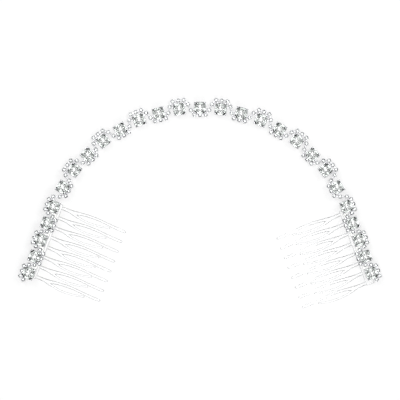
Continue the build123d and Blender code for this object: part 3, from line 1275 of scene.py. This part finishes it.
@dataclass
class Chain:
    """The chain: every cluster's settings and crystals, and the swivel links between them."""

    line: ChainLine
    finishes: Finishes
    metal: MetalWork = field(default_factory=MetalWork)
    stones: CutStones = field(default_factory=CutStones)
    link: SwivelLink = field(default_factory=SwivelLink)
    crease: float = radians(38)

    def build_settings(self, name: str, node: str, body: str, side: Side, clusters: range) -> None:
        """Make the metal of one or more clusters as one piece.

        Args:
            name: the piece's name.
            node: the node that it stands for.
            body: the body that it rides on.
            side: its side of the arch.
            clusters: the clusters in it.
        """
        shell = Shell()
        for index in clusters:
            self.metal.add_cluster(shell, self.line, index)
        last = clusters[-1]
        if last <= self.line.last_free:
            self.metal.add_tongue(shell, self.line, last)
        if last == 0:
            self.metal.add_tongue(shell, self.line, 0, flip=-1)
        for index in clusters[:-1]:
            start, end = self.line.cup_point(index, -1), self.line.cup_point(index + 1, 0)
            points, blocks = skin(bar(start, end, self.metal.bar_width, self.metal.bar_thickness))
            shell.add(points, blocks)
        piece = make_piece(name, shell, [self.finishes.silver], side, self.crease)
        fit(piece, node, body)

    def build_stones(self, name: str, node: str, body: str, side: Side, clusters: range) -> None:
        """Make the crystals of one or more clusters as one piece.

        Args:
            name: the piece's name.
            node: the node that it stands for.
            body: the body that it rides on.
            side: its side of the arch.
            clusters: the clusters in it.
        """
        shell = Shell()
        dice = np.random.default_rng([SEED, clusters[0], side.value + 1])
        for index in clusters:
            self.stones.add_cluster(shell, self.line, index, dice)
        piece = make_piece(name, shell, [self.finishes.crystal, self.finishes.foil], side, None)
        fit(piece, node, body)

    def build_link(self, number: int, side: Side) -> None:
        """Make one swivel link.

        Args:
            number: the link, counted from the crown.
            side: its side of the arch.
        """
        shell = Shell()
        self.link.add(shell, self.line.pivot(number - 1))
        name, node = f"{side.word}_swivel_link_{number}", f"link_{side.word}_{number}"
        piece = make_piece(name, shell, [self.finishes.silver], side, self.crease)
        fit(piece, node, node)

    def build(self) -> None:
        """Make the crown, the free clusters, the links and the rows on the combs."""
        self.build_settings("crown_settings", "setting_crown", "crown", Side.RIGHT, range(1))
        self.build_stones("crown_crystals", "stones_crown", "crown", Side.RIGHT, range(1))
        on_comb = range(self.line.last_free + 1, self.line.last_cluster + 1)
        for side in Side:
            word = side.word
            for number in range(1, self.line.last_free + 1):
                one, body = range(number, number + 1), f"{word}_{number}"
                self.build_settings(f"{word}_settings_{number}", f"setting_{word}_{number}", body, side, one)
                self.build_stones(f"{word}_crystals_{number}", f"stones_{word}_{number}", body, side, one)
            for number in range(1, self.line.last_free + 2):
                self.build_link(number, side)
            body = f"comb_{word}"
            self.build_settings(f"{word}_comb_settings", f"end_settings_{word}", body, side, on_comb)
            self.build_stones(f"{word}_comb_crystals", f"end_stones_{word}", body, side, on_comb)


# ---- the studio --------------------------------------------------------------------------------
@dataclass(frozen=True)
class Studio:
    """A plain white table that glows, soft lamps, and a camera that looks straight down."""

    table_size: float = 3.0
    view_width: float = 208.0 * MM
    view_centre: tuple[float, float] = (0.0, 1.6 * MM)
    distance: float = 1.3
    sensor: float = 36.0
    tent_strength: float = 1.0
    tent_panels: float = 7.0
    tent_heights: tuple[tuple[float, float], ...] = (
        (0.0, 0.15), (0.12, 0.12), (0.24, 1.0), (0.6, 1.0),
        (0.66, 0.15), (0.76, 0.15), (0.82, 1.0), (1.0, 1.0))
    panel_shades: tuple[tuple[float, float], ...] = (
        (0.0, 0.13), (0.35, 0.13), (0.45, 1.0), (0.9, 1.0), (1.0, 0.13))
    top_panel: tuple[float, float] = (0.84, 0.9)
    table_shades: tuple[float, float] = (0.3, 0.31)
    table_glow: float = 0.61
    table_haze: float = 3.0 * MM

    def build_table(self) -> None:
        """The floor: one square of matt white acrylic, lit from below as well, so that the object
        throws next to no shadow and the edges of the clear plastic stand out."""
        material, tree = new_material("backlit_white_acrylic")
        where = add_node(tree, "ShaderNodeTexCoord").outputs["Object"]
        haze = add_node(tree, "ShaderNodeTexNoise", {"Scale": 1 / self.table_haze}, {"Vector": where})
        low, high = self.table_shades
        tone = add_node(tree, "ShaderNodeMapRange", {"To Min": low, "To Max": high},
                        {"Value": haze.outputs["Fac"]})
        acrylic = add_node(tree, "ShaderNodeBsdfPrincipled",
                           {"Roughness": 0.9, "Emission Color": linear("#FFFFFF"),
                            "Emission Strength": self.table_glow},
                           {"Base Color": tone.outputs["Result"]})
        add_node(tree, "ShaderNodeOutputMaterial", links={"Surface": acrylic.outputs["BSDF"]})
        half = self.table_size / 2
        mesh = bpy.data.meshes.new("table")
        corner = [(-half, -half, 0), (half, -half, 0), (half, half, 0), (-half, half, 0)]
        mesh.from_pydata(corner, [], [(0, 1, 2, 3)])
        mesh.materials.append(material)
        table = bpy.data.objects.new("table", mesh)
        bpy.context.scene.collection.objects.link(table)

    def build_world(self) -> None:
        """The light tent: bright panels in the sky with dark gaps between them and a dark skirt at
        the horizon, so that the facets and the polished metal have light and dark to mirror."""
        world = bpy.data.worlds.new("light_tent")
        bpy.context.scene.world = world
        world.use_nodes = True
        tree = world.node_tree
        tree.nodes.clear()
        way = add_node(tree, "ShaderNodeTexCoord").outputs["Generated"]
        height = add_node(tree, "ShaderNodeSeparateXYZ", links={0: way}).outputs["Z"]
        tent = self.add_ramp(tree, height, self.tent_heights)
        round_about = add_node(tree, "ShaderNodeTexGradient", links={0: way}, gradient_type="RADIAL")
        turns = add_node(tree, "ShaderNodeMath", {1: self.tent_panels}, {0: round_about.outputs["Fac"]},
                         operation="MULTIPLY")
        share = add_node(tree, "ShaderNodeMath", links={0: turns.outputs[0]}, operation="FRACT")
        panels = self.add_ramp(tree, share.outputs[0], self.panel_shades)
        # the top of the tent is one panel
        low, high = self.top_panel
        top = add_node(tree, "ShaderNodeMapRange", {"From Min": low, "From Max": high}, {"Value": height})
        whole = add_node(tree, "ShaderNodeMix", links={0: top.outputs["Result"], 6: panels, 7: tent},
                         data_type="RGBA")
        both = add_node(tree, "ShaderNodeMix", {0: 1.0}, {6: tent, 7: whole.outputs[2]},
                        data_type="RGBA", blend_type="MULTIPLY")
        sky = add_node(tree, "ShaderNodeBackground", {"Strength": self.tent_strength},
                       {"Color": both.outputs[2]})
        add_node(tree, "ShaderNodeOutputWorld", links={"Surface": sky.outputs["Background"]})

    @staticmethod
    def add_ramp(tree: bpy.types.NodeTree, source: bpy.types.NodeSocket,
                 shades: tuple[tuple[float, float], ...]) -> bpy.types.NodeSocket:
        """A ramp of greys over a value.

        Args:
            tree: the tree that it joins.
            source: the value.
            shades: position and grey of each stop.

        Returns:
            The ramp's colour.
        """
        ramp = add_node(tree, "ShaderNodeValToRGB", links={0: source})
        stops = ramp.color_ramp.elements
        stops.remove(stops[1])
        stops[0].position = shades[0][0]
        stops[0].color = (*[shades[0][1]] * 3, 1)
        for position, shade in shades[1:]:
            stops.new(position).color = (shade, shade, shade, 1)
        return ramp.outputs["Color"]

    def build_lamps(self) -> None:
        """Four large soft boxes, which look at the middle of the object."""
        for name, spot, size, power in (
            ("key_box", (-0.7, 0.9, 1.1), 0.8, 7.0),
            ("fill_box", (0.9, 0.5, 1.0), 0.7, 6.0),
            ("low_box", (0.2, -1.0, 0.8), 0.6, 4.5),
            ("top_box", (0.0, 0.1, 1.6), 0.9, 6.0),
        ):
            lamp = bpy.data.lights.new(name, "AREA")
            lamp.shape, lamp.size, lamp.energy = "SQUARE", size, power
            box = bpy.data.objects.new(name, lamp)
            box.location = spot
            box.rotation_euler = (-Vector(spot)).to_track_quat("-Z", "Y").to_euler()
            bpy.context.scene.collection.objects.link(box)

    def build_camera(self) -> None:
        """A long lens straight above the object."""
        lens = bpy.data.cameras.new("camera")
        lens.sensor_width = self.sensor
        lens.lens = self.sensor * self.distance / self.view_width
        lens.clip_start, lens.clip_end = 0.01, 20
        camera = bpy.data.objects.new("camera", lens)
        camera.location = (*self.view_centre, self.distance)
        bpy.context.scene.collection.objects.link(camera)
        bpy.context.scene.camera = camera

    def build(self) -> None:
        """Make the table, the sky, the lamps and the camera."""
        self.build_table()
        self.build_world()
        self.build_lamps()
        self.build_camera()
        bpy.context.scene.view_settings.view_transform = "Standard"


def main() -> None:
    """Build the studio and every sub-assembly in order."""
    logging.basicConfig(level=logging.INFO, format="%(name)s: %(message)s")
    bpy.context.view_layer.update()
    line = ChainLine()
    finishes = Finishes(
        silver=SilverPlate().build(),
        foil=MirrorFoil().build(),
        crystal=LeadCrystal().build(),
        plastic=ClearStyrene().build(),
        # the glue keeps the default edge grey, so its edges carry the same painted shade as the combs
        glue=ClearStyrene(name="clear_craft_glue", colour="#FAFBF8", ior=1.46, roughness=0.12,
                          flow=0.8 * MM).build(),
    )
    Studio().build()
    Chain(line, finishes).build()
    for side in Side:
        SideComb().build(line, side, finishes)
        GlueBed().build(line, side, finishes)


if __name__ == "__main__":
    main()
